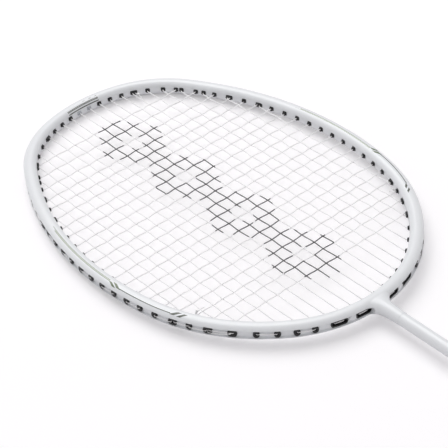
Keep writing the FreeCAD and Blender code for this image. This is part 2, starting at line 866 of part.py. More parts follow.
def make_butt_cap():
    """Flared cap over the handle's end, with a closed end face."""
    rim = CAP_WALL + CAP_FLARE
    outside = ruled([
        grown_octagon(0.0, rim - CAP_ROUNDING),
        grown_octagon(CAP_ROUNDING, rim),
        grown_octagon(CAP_RIM, rim),
        grown_octagon(CAP_LENGTH, CAP_WALL),
    ])
    inside = ruled([
        grown_octagon(CORE_RECESS - SLIDE_GAP, SLIDE_GAP),
        grown_octagon(CAP_LENGTH + 1, SLIDE_GAP),
    ])
    return outside.cut(inside)


def cone_section(share):
    """Section of the cone cap's taper, from the handle's eight sides at 0 to a round tip at 1."""
    x = HANDLE_LENGTH + CONE_BASE_LENGTH + CONE_TAPER_LENGTH * share
    tip_radius = SHAFT_DIAMETER / 2 + SLIDE_GAP + CONE_TIP_WALL
    narrowing = 1 - (1 - share) ** (1 + CONE_WAIST)
    points = []
    for vertex in grown_octagon(x, 0.0).Vertexes:
        angle = math.atan2(vertex.Z, vertex.Y)
        reach = math.hypot(vertex.Y, vertex.Z)
        reach += (tip_radius - reach) * narrowing
        points.append(Vector(x, reach * math.cos(angle), reach * math.sin(angle)))
    return Part.makePolygon(points + [points[0]])


def make_cone_cap():
    """Tapered collar between the handle and the shaft, with a spigot let into the handle."""
    sections = [grown_octagon(HANDLE_LENGTH, 0.0)]
    for step in range(CONE_STEPS + 1):
        sections.append(cone_section(step / CONE_STEPS))
    end = HANDLE_LENGTH + CONE_BASE_LENGTH + CONE_TAPER_LENGTH
    spigot = rod(CONE_SPIGOT_DIAMETER, HANDLE_LENGTH - CONE_SPIGOT_LENGTH, HANDLE_LENGTH + 1)
    bore = rod(SHAFT_DIAMETER + 2 * SLIDE_GAP, HANDLE_LENGTH - CONE_SPIGOT_LENGTH - 1, end + 1)
    return ruled(sections).fuse(spigot).cut(bore)


def grip_profile(thickness):
    """Sections over the butt cap's flare, the handle and the cone cap's base, grown by a thickness."""
    return [
        grown_octagon(CAP_RIM, CAP_WALL + CAP_FLARE + thickness),
        grown_octagon(CAP_LENGTH, CAP_WALL + thickness),
        grown_octagon(CAP_LENGTH + GRIP_STEP_LENGTH, thickness),
        grown_octagon(HANDLE_LENGTH + GRIP_OVER_CONE, thickness),
    ]


def make_grip():
    return ruled(grip_profile(GRIP_THICKNESS)).cut(ruled(grip_profile(SLIDE_GAP)))


def make_grip_band():
    """Finishing tape wound round the grip's front end."""
    end = HANDLE_LENGTH + GRIP_OVER_CONE
    inner = GRIP_THICKNESS + BOND_GAP
    outer = inner + BAND_THICKNESS
    tape = ruled([grown_octagon(end - BAND_WIDTH, outer), grown_octagon(end, outer)])
    return tape.cut(ruled([grown_octagon(end - BAND_WIDTH - 1, inner), grown_octagon(end + 1, inner)]))


def export(node, shape):
    shape.exportStep(os.path.join("parts", node + ".step"))


def main():
    os.makedirs("parts", exist_ok=True)
    nodes = {
        "head_frame": make_head_frame(),
        "throat_joint": make_throat_joint(),
        "shaft": make_shaft(),
        "main_string": make_main_string(),
        "cross_string": make_cross_string(),
        "tie_off_knots": Part.makeCompound(make_knots()),
        "handle_core": make_handle_core(),
        "butt_cap": make_butt_cap(),
        "cone_cap": make_cone_cap(),
        "grip": make_grip(),
        "grip_band": make_grip_band(),
    }
    for node, grommets in grommet_groups().items():
        nodes[node] = Part.makeCompound(grommets)
    for node, shape in nodes.items():
        export(node, shape)
        print(node, len(shape.Solids), shape.isValid(), round(shape.Volume, 1), len(shape.Faces))


main()
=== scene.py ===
import math

import bpy
from mathutils import Matrix, Quaternion, Vector


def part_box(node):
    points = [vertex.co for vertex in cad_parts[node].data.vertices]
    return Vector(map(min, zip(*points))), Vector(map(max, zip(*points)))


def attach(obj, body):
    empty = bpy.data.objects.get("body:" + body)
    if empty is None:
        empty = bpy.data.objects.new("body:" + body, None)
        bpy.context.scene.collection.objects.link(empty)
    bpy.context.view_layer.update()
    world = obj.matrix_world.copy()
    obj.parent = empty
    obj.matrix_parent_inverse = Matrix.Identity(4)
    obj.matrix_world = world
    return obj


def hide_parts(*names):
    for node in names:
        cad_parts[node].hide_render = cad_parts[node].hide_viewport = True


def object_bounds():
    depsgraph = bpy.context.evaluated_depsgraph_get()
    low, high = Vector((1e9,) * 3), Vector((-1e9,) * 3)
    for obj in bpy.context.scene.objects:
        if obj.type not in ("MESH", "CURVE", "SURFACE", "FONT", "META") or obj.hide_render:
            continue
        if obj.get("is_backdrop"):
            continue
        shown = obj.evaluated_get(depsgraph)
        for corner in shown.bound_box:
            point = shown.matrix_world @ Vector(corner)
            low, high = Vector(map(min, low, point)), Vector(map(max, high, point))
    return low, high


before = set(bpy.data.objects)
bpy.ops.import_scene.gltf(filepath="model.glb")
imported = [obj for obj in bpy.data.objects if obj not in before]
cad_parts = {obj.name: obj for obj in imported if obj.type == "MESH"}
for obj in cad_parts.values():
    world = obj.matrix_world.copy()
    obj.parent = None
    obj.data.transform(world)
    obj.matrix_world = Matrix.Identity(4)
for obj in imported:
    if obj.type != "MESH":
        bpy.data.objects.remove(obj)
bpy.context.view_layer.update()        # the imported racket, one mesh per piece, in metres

MM = 0.001


# --------------------------------------
# Camera
# It looks down across the head from the left of the handle, turned a little about its own axis,
# with a long lens.
# --------------------------------------
bpy.ops.object.camera_add(location=(-0.0993, 0.4789, 0.6134))
camera = bpy.context.object
aim = Vector((0.5392, 0.0357, 0.0))
roll = Quaternion((0, 0, 1), math.radians(-7.14))
camera.rotation_mode = "QUATERNION"
camera.rotation_quaternion = (aim - camera.location).to_track_quat("-Z", "Y") @ roll
camera.data.sensor_width = 36
camera.data.lens = 138.6
camera.data.shift_x = 0.1255
bpy.context.scene.camera = camera
bpy.context.scene.view_settings.view_transform = "Standard"


# --------------------------------------
# Studio
# A white laminate table under the racket, which lies on the flare of its butt and on the tip of its head,
# with one large soft lamp over the far end and light all round that is a little stronger from above.
# --------------------------------------
def linear(hex_colour):
    """An sRGB hex colour as RGBA in linear light."""
    parts = [int(hex_colour[i:i + 2], 16) / 255 for i in (1, 3, 5)]
    return [p / 12.92 if p <= 0.04045 else ((p + 0.055) / 1.055) ** 2.4 for p in parts] + [1.0]


def add(tree, kind, inputs, **settings):
    """Adds one node with its settings; an input may be a value, a socket or a node's first output."""
    new = tree.nodes.new(kind)
    for name, value in settings.items():
        setattr(new, name, value)
    for name, value in inputs.items():
        if isinstance(value, bpy.types.Node):
            value = next(output for output in value.outputs if output.enabled)
        if isinstance(value, bpy.types.NodeSocket):
            tree.links.new(value, new.inputs[name])
        else:
            new.inputs[name].default_value = value
    return new


def blank_material(name):
    material = bpy.data.materials.new(name)
    material.use_nodes = True
    material.node_tree.nodes.clear()
    return material, material.node_tree


FLOOR_GREY = "#F1EFF1"
FLOOR_GLOW = 0.22
BACKDROP = "#FFFFFF"
AMBIENT_LOW = 0.48
AMBIENT_HIGH = 0.56
AMBIENT_COLOUR = "#FCFBFC"
LAMP_POWER = 49.0
LAMP_SIZE = 2.4
TABLE_SIZE = 8

table_white, tree = blank_material("matt_white_table_laminate")
ray = add(tree, "ShaderNodeLightPath", {})
grain = add(tree, "ShaderNodeTexNoise", {"Scale": 900.0, "Detail": 3.0})
bump = add(tree, "ShaderNodeBump", {"Height": grain, "Strength": 0.02, "Distance": 0.1 * MM})
seen = add(tree, "ShaderNodeMath", {0: ray.outputs["Is Camera Ray"], 1: FLOOR_GLOW}, operation="MULTIPLY")
surface = add(tree, "ShaderNodeBsdfPrincipled", {
    "Base Color": linear(FLOOR_GREY), "Roughness": 0.8, "Specular IOR Level": 0.1,
    "Normal": bump, "Emission Color": linear(BACKDROP), "Emission Strength": seen})
add(tree, "ShaderNodeOutputMaterial", {"Surface": surface})

head_low, head_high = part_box("head_frame")
grip_low, grip_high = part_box("grip")
slope = math.atan2(head_low.z - grip_low.z, head_high.x - grip_low.x)
bpy.ops.mesh.primitive_plane_add(size=TABLE_SIZE, location=(grip_low.x, 0, grip_low.z),
                                 rotation=(0, -slope, 0))
table = bpy.context.object
table.name = "table"
table.data.materials.append(table_white)
table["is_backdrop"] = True

world = bpy.data.worlds.new("studio")
bpy.context.scene.world = world
world.use_nodes = True
world.node_tree.nodes.clear()
tree = world.node_tree
ray = add(tree, "ShaderNodeLightPath", {})
direction = add(tree, "ShaderNodeTexCoord", {})
up = add(tree, "ShaderNodeSeparateXYZ", {"Vector": direction.outputs["Generated"]})
glow = add(tree, "ShaderNodeMapRange", {"Value": up.outputs["Z"], "To Min": AMBIENT_LOW,
                                        "To Max": AMBIENT_HIGH})
room = add(tree, "ShaderNodeBackground", {"Color": linear(AMBIENT_COLOUR), "Strength": glow})
white = add(tree, "ShaderNodeBackground", {"Color": linear(BACKDROP), "Strength": 1.0})
shown = add(tree, "ShaderNodeMath", {0: ray.outputs["Is Camera Ray"], 1: ray.outputs["Is Transmission Ray"]},
            operation="MAXIMUM")
mixed = add(tree, "ShaderNodeMixShader", {0: shown, 1: room, 2: white})
add(tree, "ShaderNodeOutputWorld", {"Surface": mixed})

bpy.ops.object.light_add(type="AREA", location=(1.9, -0.35, 2.65))
lamp = bpy.context.object
lamp.name = "softbox"
lamp.data.energy = LAMP_POWER
lamp.data.size = LAMP_SIZE
lamp.rotation_mode = "QUATERNION"
lamp.rotation_quaternion = (Vector((0.5, 0, 0)) - lamp.location).to_track_quat("-Z", "Y")


# --------------------------------------
# Head frame
# A hollow carbon composite tube, bent to a rounded head with a groove round its outside for the strings,
# moulded in one with the neck, sanded, sprayed white and lacquered.
# --------------------------------------
RACKET_LENGTH = head_high.x / MM
FRAME_WIDTH = 8.0
FRAME_HEIGHT = (head_high.z - head_low.z) / MM
GROOVE_MOUTH = 4.8
GROOVE_FLOOR_DEPTH = 6.8
CROWN_DEPTH = 4.2
INNER_FLAT = 3.2
HEAD_BENDS = ((82.6, 17.0), (60.7, 41.0), (201.8, 43.5), (107.8, 41.4))
LEFT = 1
RIGHT = -1


def wall_arcs():
    """The inner wall's arcs on the left, from tip to throat: centre x, centre y, radius, start, end."""
    x, y, angle = RACKET_LENGTH - FRAME_WIDTH, 0.0, 0.0
    arcs = []
    for radius, turn in HEAD_BENDS:
        centre_x = x - radius * math.cos(angle)
        centre_y = y - radius * math.sin(angle)
        end = angle + math.radians(turn)
        arcs.append((centre_x, centre_y, radius, angle, end))
        x = centre_x + radius * math.cos(end)
        y = centre_y + radius * math.sin(end)
        angle = end
    radius = y / math.sin(angle)
    arcs.append((x - radius * math.cos(angle), 0.0, radius, angle, math.pi))
    return arcs


ARCS = wall_arcs()


def arc_at(turn):
    return next((arc for arc in ARCS if abs(turn) <= arc[4]), ARCS[-1])


def wall_point(turn, depth, z=0.0):
    """Point this far outside the inner wall, where its normal has this angle, negative on the right."""
    centre_x, centre_y, radius = arc_at(turn)[:3]
    x = centre_x + (radius + depth) * math.cos(abs(turn))
    y = centre_y + (radius + depth) * math.sin(abs(turn))
    return Vector((x, math.copysign(y, turn), z))


def wall_normal(turn):
    return Vector((math.cos(turn), math.sin(turn), 0))


def wall_tangent(turn):
    """Direction along the wall from the tip towards the throat."""
    side = math.copysign(1.0, turn)
    return Vector((-math.sin(turn) * side, math.cos(turn) * side, 0))


def turn_at_y(y, at_throat):
    """Where a lengthwise string at this distance from the axis meets the inner wall."""
    for centre_x, centre_y, radius, start, end in ARCS:
        sine = (y - centre_y) / radius
        if abs(sine) <= 1:
            angle = math.pi - math.asin(sine) if at_throat else math.asin(sine)
            if start <= angle <= end:
                return angle


def turn_at_x(x):
    """Where a crosswise string at this place along the racket meets the inner wall."""
    for centre_x, centre_y, radius, start, end in ARCS:
        cosine = (x - centre_x) / radius
        if abs(cosine) <= 1 and start <= math.acos(cosine) <= end:
            return math.acos(cosine)


def gloss_lacquer(name):
    """White two-part lacquer, sprayed and buffed: a faint pearl grain and orange peel under a clear coat."""
    PEARL_GRAIN = 0.5
    ORANGE_PEEL = 1.6
    HANDLING_WEAR = 35.0
    material, tree = blank_material(name)
    place = add(tree, "ShaderNodeTexCoord", {}).outputs["Object"]
    pearl = add(tree, "ShaderNodeTexNoise",
                {"Vector": place, "Scale": 1 / (PEARL_GRAIN * MM), "Detail": 2.0})
    colour = add(tree, "ShaderNodeMix", {"Factor": pearl, "A": linear("#EDEFF2"), "B": linear("#F2F4F6")},
                 data_type="RGBA")
    wear = add(tree, "ShaderNodeTexNoise",
               {"Vector": place, "Scale": 1 / (HANDLING_WEAR * MM), "Detail": 4.0})
    rough = add(tree, "ShaderNodeMapRange", {"Value": wear, "To Min": 0.24, "To Max": 0.38})
    peel = add(tree, "ShaderNodeTexNoise", {"Vector": place, "Scale": 1 / (ORANGE_PEEL * MM), "Detail": 1.0})
    bump = add(tree, "ShaderNodeBump", {"Height": peel, "Strength": 0.12, "Distance": 0.03 * MM})
    surface = add(tree, "ShaderNodeBsdfPrincipled", {
        "Base Color": colour, "Roughness": rough, "IOR": 1.5,
        "Coat Weight": 0.4, "Coat Roughness": 0.15, "Normal": bump})
    add(tree, "ShaderNodeOutputMaterial", {"Surface": surface})
    return material


def dress(node, material):
    """Gives a piece that is shown as it was built its finish."""
    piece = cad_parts[node]
    piece.data.materials.clear()
    piece.data.materials.append(material)


dress("head_frame", gloss_lacquer("white_lacquer_on_carbon"))


# --------------------------------------
# Painted lines on the head frame
# Masked and sprayed under the clear coat: a pale green band between two olive lines along the crown of each
# side, ended by slanted slashes and run out as one thin line, and plain lines across the inside of the tip.
# --------------------------------------
PAINT_LIFT = 0.03
PAINT_THICKNESS = 0.02
FOLD_ANGLE = 6
WELD = 0.0005
SHOULDER_REACH = FRAME_WIDTH - CROWN_DEPTH
SHOULDER_DROP = (FRAME_HEIGHT - GROOVE_MOUTH) / 2
SHOULDER_RADIUS = (SHOULDER_REACH ** 2 + SHOULDER_DROP ** 2) / (2 * SHOULDER_DROP)
INNER_RISE = (FRAME_HEIGHT - INNER_FLAT) / 2


def finish_mesh(piece, smooth_angle):
    """Merges what touches, turns the faces outwards and smooths all but the sharp edges."""
    bpy.ops.object.select_all(action="DESELECT")
    piece.select_set(True)
    bpy.context.view_layer.objects.active = piece
    bpy.ops.object.mode_set(mode="EDIT")
    bpy.ops.mesh.select_all(action="SELECT")
    bpy.ops.mesh.remove_doubles(threshold=WELD * MM)
    bpy.ops.mesh.normals_make_consistent(inside=False)
    bpy.ops.object.mode_set(mode="OBJECT")
    bpy.ops.object.shade_smooth_by_angle(angle=math.radians(smooth_angle))


def shaped_sheet(name, rows, columns, place):
    """A grid whose points are set out by a rule: place(along, across) with both from 0 to 1, in mm."""
    bpy.ops.object.select_all(action="DESELECT")
    bpy.ops.mesh.primitive_grid_add(x_subdivisions=rows, y_subdivisions=columns, size=2)
    piece = bpy.context.object
    piece.name = name
    for point in piece.data.vertices:
        point.co = place((point.co.x + 1) / 2, (point.co.y + 1) / 2) * MM
    return piece


def join(name, pieces):
    """Makes one piece of several."""
    bpy.ops.object.select_all(action="DESELECT")
    for piece in pieces:
        piece.select_set(True)
    bpy.context.view_layer.objects.active = pieces[0]
    bpy.ops.object.join()
    pieces[0].name = name
    pieces[0].data.name = name
    return pieces[0]


def shoulder_point(turn, fall, lift):
    """Point on the frame's skin, fall radians round from the crown: outwards above zero, inwards below it."""
    if fall >= 0:
        reach = SHOULDER_RADIUS + lift
        return (wall_point(turn, CROWN_DEPTH + reach * math.sin(fall))
                + Vector((0, 0, FRAME_HEIGHT / 2 - SHOULDER_RADIUS + reach * math.cos(fall))))
    return (wall_point(turn, CROWN_DEPTH + (CROWN_DEPTH + lift) * math.sin(fall))
            + Vector((0, 0, INNER_FLAT / 2 + (INNER_RISE + lift) * math.cos(fall))))


def painted_line(first, last, high, low, slant, side, side_up):
    """A stripe from one wall angle to another, between two falls; slant moves its lower edge along."""
    def place(along, across):
        fall = math.radians(high + (low - high) * across)
        turn = math.radians(first + (last - first) * along + slant * across)
        point = shoulder_point(side * turn, fall, PAINT_LIFT)
        point.z *= side_up
        return point
    steps = max(2, math.ceil(abs(last - first)))
    folds = max(2, math.ceil(abs(low - high) / FOLD_ANGLE))
    return shaped_sheet("line", steps + 1, folds + 1, place)


def sprayed_paint(name, colour, speckle):
    """Pigmented lacquer on the white, slightly uneven where it was masked."""
    SPECKLE_SIZE = 0.4
    material, tree = blank_material(name)
    place = add(tree, "ShaderNodeTexCoord", {}).outputs["Object"]
    noise = add(tree, "ShaderNodeTexNoise",
                {"Vector": place, "Scale": 1 / (SPECKLE_SIZE * MM), "Detail": 3.0})
    mix = add(tree, "ShaderNodeMix", {"Factor": noise, "A": linear(colour), "B": linear(speckle)},
              data_type="RGBA")
    surface = add(tree, "ShaderNodeBsdfPrincipled", {
        "Base Color": mix, "Roughness": 0.35, "Coat Weight": 0.5, "Coat Roughness": 0.08})
    add(tree, "ShaderNodeOutputMaterial", {"Surface": surface})
    return material


def paint_layer(name, lines, material):
    """Joins stripes into one thin layer of paint."""
    layer = join(name, lines)
    film = layer.modifiers.new("film", "SOLIDIFY")
    film.thickness = PAINT_THICKNESS * MM
    film.offset = 1
    bpy.ops.object.modifier_apply(modifier=film.name)
    finish_mesh(layer, 40)
    layer.data.materials.append(material)
    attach(layer, "root")


TIP_LINES_TURN = 8.1
TIP_LINE_FALLS = ((-78, -68), (-51, -45), (-41, -36), (-22, -16))
pale_lines = []
olive_lines = []
grey_lines = []
SIDE_MARKS = ((LEFT, 77.0, 93.2, 109.2, 0, 0), (RIGHT, 81.0, 97.7, 115.5, -14, -24))
for side_up in (1, -1):
    for side, band_start, band_end, line_end, band_roll, end_roll in SIDE_MARKS:
        for lines, first, last, high, low, slant in (
                (pale_lines, band_start, band_end, 2, 10, 0),
                (olive_lines, band_start - 1, band_end, -1.5, 1.5, 0),
                (olive_lines, band_start, band_end, 10, 13, 0),
                (olive_lines, band_end - 0.15, band_end + 0.6, 10, 36, 1.2),
                (olive_lines, band_end + 0.7, band_end + 1.5, 0, 29, 1.25),
                (grey_lines, band_end + 2.5, line_end, 21.5, 27, 0)):
            high += band_roll
            low += band_roll
            lines.append(painted_line(first, last, high, low, slant, side, side_up))
        for first, last, high, low, slant in ((line_end + 1.9, line_end + 3.2, -2, 32, -2.1),
                                              (line_end + 3.9, line_end + 5.0, 2, 36, -1.9)):
            high += end_roll
            low += end_roll
            grey_lines.append(painted_line(first, last, high, low, slant, side, side_up))
for side in (LEFT, RIGHT):
    for high, low in TIP_LINE_FALLS:
        grey_lines.append(painted_line(0.0, TIP_LINES_TURN, high, low, 0, side, 1))
for name, lines, paint, colour, speckle in (
        ("pale_lines", pale_lines, "pale_green_lacquer", "#C3CABC", "#CDD3C7"),
        ("olive_lines", olive_lines, "olive_green_lacquer", "#5F6D50", "#6B795C"),
        ("grey_lines", grey_lines, "dark_grey_green_lacquer", "#4A5046", "#555B50")):
    paint_layer(name, lines, sprayed_paint(paint, colour, speckle))


# --------------------------------------
# Grommets
# Injection moulded nylon sleeves, pushed in from the groove until the flange seats, with a nib inside the
# hoop. Long ones take two strings, and slotted twin ones sit beside the neck.
# --------------------------------------
MAIN_COUNT = 22
CROSS_COUNT = 21
SIDE_GAP = 8.8
THROAT_GAP = 36.0
TIP_GAP = 25.1
TIP_SPREAD = 1.17
SPREAD_CROSSES = 2
GROMMET_BORE = 1.6
MOUTH_BORE = 1.4
GROMMET_WIDTH = 2.6
GROMMET_NIB = 1.2
NIB_REACH = 1.15
HEAD_HEIGHT = 0.62
HEAD_STRETCH = 1.17
COLLAR_WIDTH = 2.94
FLANGE_WIDTH = 3.8
FLANGE_GAP = 0.02
FLANGE_THICKNESS = 0.4
FLANGE_SEAT = GROOVE_FLOOR_DEPTH + FLANGE_GAP
FLANGE_TOP = FLANGE_SEAT + FLANGE_THICKNESS
SHARED_SPREAD = 0.85
TWIN_SPREAD = 3.2
TWIN_EXIT = 2.7
TWIN_PLUG_DEPTH = 3.0
TWIN_RECESS_DEPTH = 1.2
TWIN_NECK_SHIFT = 2.2
TWIN_SLEEVE_END = 1.5
TWIN_SLOT_WIDTH = 2.3
STRING_RADIUS = 0.35
SEAT_GAP = 0.07
GROOVE_SEAT = FLANGE_TOP + SEAT_GAP + STRING_RADIUS
TWIN_FLOOR = FLANGE_TOP - TWIN_RECESS_DEPTH
TWIN_SEAT = TWIN_FLOOR + SEAT_GAP + STRING_RADIUS
STRING_MOUTH = -(GROMMET_NIB + STRING_RADIUS)
OUTER_MAIN = MAIN_COUNT // 2 - 1
LAST_CROSS = CROSS_COUNT - 1
LARGE_MAIN = 4
TWIN_MAINS = ((0, 1), (2, 3))
TIP_SHARED = {OUTER_MAIN - 1: 3, OUTER_MAIN: 5}
THROAT_SHARED = {OUTER_MAIN - 2: LAST_CROSS, OUTER_MAIN - 1: LAST_CROSS - 1, OUTER_MAIN: LAST_CROSS - 3}
MAIN_TIE_CROSS = LAST_CROSS - 2
CROSS_TIE_MAIN = OUTER_MAIN - 1
tip_x = wall_point(0.0, 0.0).x
throat_x = wall_point(math.pi, 0.0).x
main_pitch = 2 * (wall_point(math.pi / 2, 0.0).y - SIDE_GAP) / (MAIN_COUNT - 1)
cross_gaps = CROSS_COUNT - 1 + SPREAD_CROSSES * (TIP_SPREAD - 1)
cross_pitch = (tip_x - throat_x - THROAT_GAP - TIP_GAP) / cross_gaps


def cross_x(number):
    """Place of a cross string, counted from the tip; the first gaps are wider."""
    return tip_x - TIP_GAP - cross_pitch * (number + min(number, SPREAD_CROSSES) * (TIP_SPREAD - 1))


def main_hole(number, at_throat):
    """Wall angle of a main string's hole and the string's place across it."""
    natural = turn_at_y((number + 0.5) * main_pitch, at_throat)
    shared = THROAT_SHARED if at_throat else TIP_SHARED
    if number in shared:
        other = turn_at_x(cross_x(shared[number]))
        lane = math.copysign(SHARED_SPREAD, natural - other)
        if at_throat and number == CROSS_TIE_MAIN:
            lane = SHARED_SPREAD
        return (natural + other) / 2, lane
    if number == LARGE_MAIN and not at_throat:
        return natural, -SHARED_SPREAD
    return natural, 0.0


def cross_hole(number):
    """Wall angle of a cross string's hole and the string's place across it."""
    for shared, at_throat in ((TIP_SHARED, False), (THROAT_SHARED, True)):
        for main, cross in shared.items():
            if cross == number:
                turn, lane = main_hole(main, at_throat)
                return turn, -lane
    return turn_at_x(cross_x(number)), 0.0


def twin_slot(pair):
    """Wall angle of the slot that two neighbouring mains share beside the neck."""
    middle = sum(main_hole(number, True)[0] for number in pair) / 2
    if 0 in pair:
        middle -= TWIN_NECK_SHIFT / (ARCS[-1][2] + GROOVE_FLOOR_DEPTH)
    return middle


def in_twin(number, at_throat):
    return at_throat and number <= TWIN_MAINS[1][1]


def twin_passage(number, side):
    """Inner mouth and outer end of one main's way through its twin grommet."""
    pair = TWIN_MAINS[number // 2]
    slot = side * twin_slot(pair)
    lane = TWIN_EXIT if number == pair[0] else -TWIN_EXIT
    return (wall_point(side * main_hole(number, True)[0], STRING_MOUTH),
            wall_point(slot, TWIN_SEAT) + wall_tangent(slot) * lane)


def turned(name, rings, sides):
    """A turned piece along +Z, drawn up ring by ring from (radius, height) pairs in mm."""
    bpy.ops.object.select_all(action="DESELECT")
    first_radius, first_height = rings[0]
    bpy.ops.mesh.primitive_circle_add(vertices=sides, radius=first_radius * MM,
                                      location=(0, 0, first_height * MM))
    piece = bpy.context.object
    piece.name = name
    bpy.ops.object.transform_apply(location=True)
    bpy.ops.object.mode_set(mode="EDIT")
    bpy.ops.mesh.select_all(action="SELECT")
    for (radius, height), (next_radius, next_height) in zip(rings, rings[1:]):
        rise = (next_height - height) * MM
        growth = next_radius / radius
        bpy.ops.mesh.extrude_edges_move(TRANSFORM_OT_translate={"value": (0, 0, rise)})
        bpy.ops.transform.resize(value=(growth, growth, 1), center_override=(0, 0, next_height * MM))
    bpy.ops.object.mode_set(mode="OBJECT")
    return piece


def moulded(name, rings, sides, spread=0.0):
    """A turned grommet: the collar squared to cover its hole, the head widened to the groove, both spread."""
    SQUARENESS = 5
    piece = turned(name, rings, sides)
    for point in piece.data.vertices:
        reach = math.hypot(point.co.x, point.co.y) / MM
        on_collar = point.co.z < COLLAR_REACH * MM
        if on_collar and reach > half_collar - SLACK:
            angle = math.atan2(point.co.y, point.co.x)
            corner = abs(math.cos(angle)) ** SQUARENESS + abs(math.sin(angle)) ** SQUARENESS
            point.co.x *= corner ** (-1 / SQUARENESS)
            point.co.y *= corner ** (-1 / SQUARENESS)
        if not on_collar and reach > half_width + EDGE:
            point.co.y *= HEAD_STRETCH
        if abs(point.co.x) > TINY * MM:
            point.co.x += math.copysign(spread * MM, point.co.x)
    finish_mesh(piece, 40)
    return piece


def set_in_wall(pattern, turn, at=None, out=None):
    """A copy of a piece, with its own mesh, pushed through the wall along the wall's normal."""
    copy = pattern.copy()
    copy.data = pattern.data.copy()
    bpy.context.collection.objects.link(copy)
    out = out or wall_normal(turn)
    at = at or wall_point(turn, 0.0)
    upright = Vector((0, 0, 1))
    along = upright.cross(out)
    turn_out = Matrix((along, upright, out)).transposed().to_4x4()
    copy.data.transform(Matrix.Translation(at * MM) @ turn_out)
    return copy


def moulded_nylon(name, colour, worn):
    """Injection moulded nylon: an even satin skin, a little lighter where the strings rub it."""
    SKIN_GRAIN = 0.25
    RUBBED_PATCH = 2.5
    material, tree = blank_material(name)
    place = add(tree, "ShaderNodeTexCoord", {}).outputs["Object"]
    patch = add(tree, "ShaderNodeTexNoise",
                {"Vector": place, "Scale": 1 / (RUBBED_PATCH * MM), "Detail": 3.0})
    mix = add(tree, "ShaderNodeMix", {"Factor": patch, "A": linear(colour), "B": linear(worn)},
              data_type="RGBA")
    grain = add(tree, "ShaderNodeTexNoise", {"Vector": place, "Scale": 1 / (SKIN_GRAIN * MM)})
    bump = add(tree, "ShaderNodeBump", {"Height": grain, "Strength": 0.2, "Distance": 0.02 * MM})
    surface = add(tree, "ShaderNodeBsdfPrincipled", {
        "Base Color": mix, "Roughness": 0.42, "IOR": 1.53, "Normal": bump})
    add(tree, "ShaderNodeOutputMaterial", {"Surface": surface})
    return material


black_nylon = moulded_nylon("black_moulded_nylon", "#0E0E10", "#1B1B1E")
pale_nylon = moulded_nylon("grey_moulded_nylon", "#B4B8BE", "#C6C9CE")

half_bore = GROMMET_BORE / 2
half_mouth = MOUTH_BORE / 2
half_width = GROMMET_WIDTH / 2
half_flange = FLANGE_WIDTH / 2
half_collar = COLLAR_WIDTH / 2
half_slot = TWIN_SLOT_WIDTH / 2
EDGE = 0.2
HEAD_EDGE = 0.25
MOUTH_EDGE = 0.1
COLLAR_EDGE = 0.12
COLLAR_REACH = 0.1
COLLAR_BASE = 0.03
BORE_END = 1.5
MOUTH_END = 1.0
SLACK = 0.01
TINY = 0.001
HEAD_TOP = FLANGE_TOP + HEAD_HEIGHT
SLEEVE = ((half_mouth, -NIB_REACH), (half_width - EDGE, -NIB_REACH), (half_width, -NIB_REACH + EDGE),
          (half_width, -HEAD_EDGE), (half_collar, -COLLAR_EDGE), (half_collar, COLLAR_BASE),
          (half_width, COLLAR_BASE), (half_width, FLANGE_SEAT), (half_flange, FLANGE_SEAT),
          (half_flange, HEAD_TOP - HEAD_EDGE), (half_flange - EDGE, HEAD_TOP), (half_bore, HEAD_TOP),
          (half_bore - MOUTH_EDGE, HEAD_TOP - MOUTH_EDGE), (half_bore, BORE_END),
          (half_mouth, MOUTH_END), (half_mouth, -NIB_REACH))
PLUG_POLE = 0.002
PLUG = ((PLUG_POLE, FLANGE_SEAT - TWIN_PLUG_DEPTH), (half_width, FLANGE_SEAT - TWIN_PLUG_DEPTH),
        (half_width, FLANGE_SEAT), (half_flange, FLANGE_SEAT), (half_flange, FLANGE_TOP - EDGE),
        (half_flange - EDGE, FLANGE_TOP), (half_slot, FLANGE_TOP), (half_slot, TWIN_FLOOR),
        (PLUG_POLE, TWIN_FLOOR))
sleeve = moulded("sleeve", SLEEVE, 16)
long_sleeve = moulded("long_sleeve", SLEEVE, 16, SHARED_SPREAD)
plug = moulded("plug", PLUG, 18, TWIN_SPREAD)

groups = {name + "_grommets": [] for name in ("centre", "tip", "left", "right", "throat", "shared", "tie_off",
                                              "twin")}
for side in (LEFT, RIGHT):
    for number in range(OUTER_MAIN + 1):
        turn = side * main_hole(number, False)[0]
        if number == 0:
            groups["centre_grommets"].append(set_in_wall(sleeve, turn))
        elif number == LARGE_MAIN:
            groups["tie_off_grommets"].append(set_in_wall(long_sleeve, turn))
        elif number in TIP_SHARED:
            groups["shared_grommets"].append(set_in_wall(long_sleeve, turn))
        else:
            groups["tip_grommets"].append(set_in_wall(sleeve, turn))
        turn = side * main_hole(number, True)[0]
        if number in THROAT_SHARED:
            groups["shared_grommets"].append(set_in_wall(long_sleeve, turn))
        elif not in_twin(number, True):
            groups["throat_grommets"].append(set_in_wall(sleeve, turn))
    for number in range(CROSS_COUNT):
        if number not in list(TIP_SHARED.values()) + list(THROAT_SHARED.values()):
            group = "left_grommets" if side == LEFT else "right_grommets"
            groups[group].append(set_in_wall(sleeve, side * cross_hole(number)[0]))
    for pair in TWIN_MAINS:
        groups["twin_grommets"].append(set_in_wall(plug, side * twin_slot(pair)))
        for number in pair:
            inside, outside = twin_passage(number, side)
            reach = (outside - inside).length - TWIN_SLEEVE_END
            tube = moulded("tube", ((half_bore, STRING_RADIUS), (half_width - EDGE, STRING_RADIUS),
                                    (half_width, STRING_RADIUS + EDGE), (half_width, reach),
                                    (half_bore, reach), (half_bore, STRING_RADIUS)), 18)
            groups["twin_grommets"].append(set_in_wall(tube, 0, inside, (outside - inside).normalized()))
            bpy.data.objects.remove(tube)
for pattern in (sleeve, long_sleeve, plug):
    bpy.data.objects.remove(pattern)
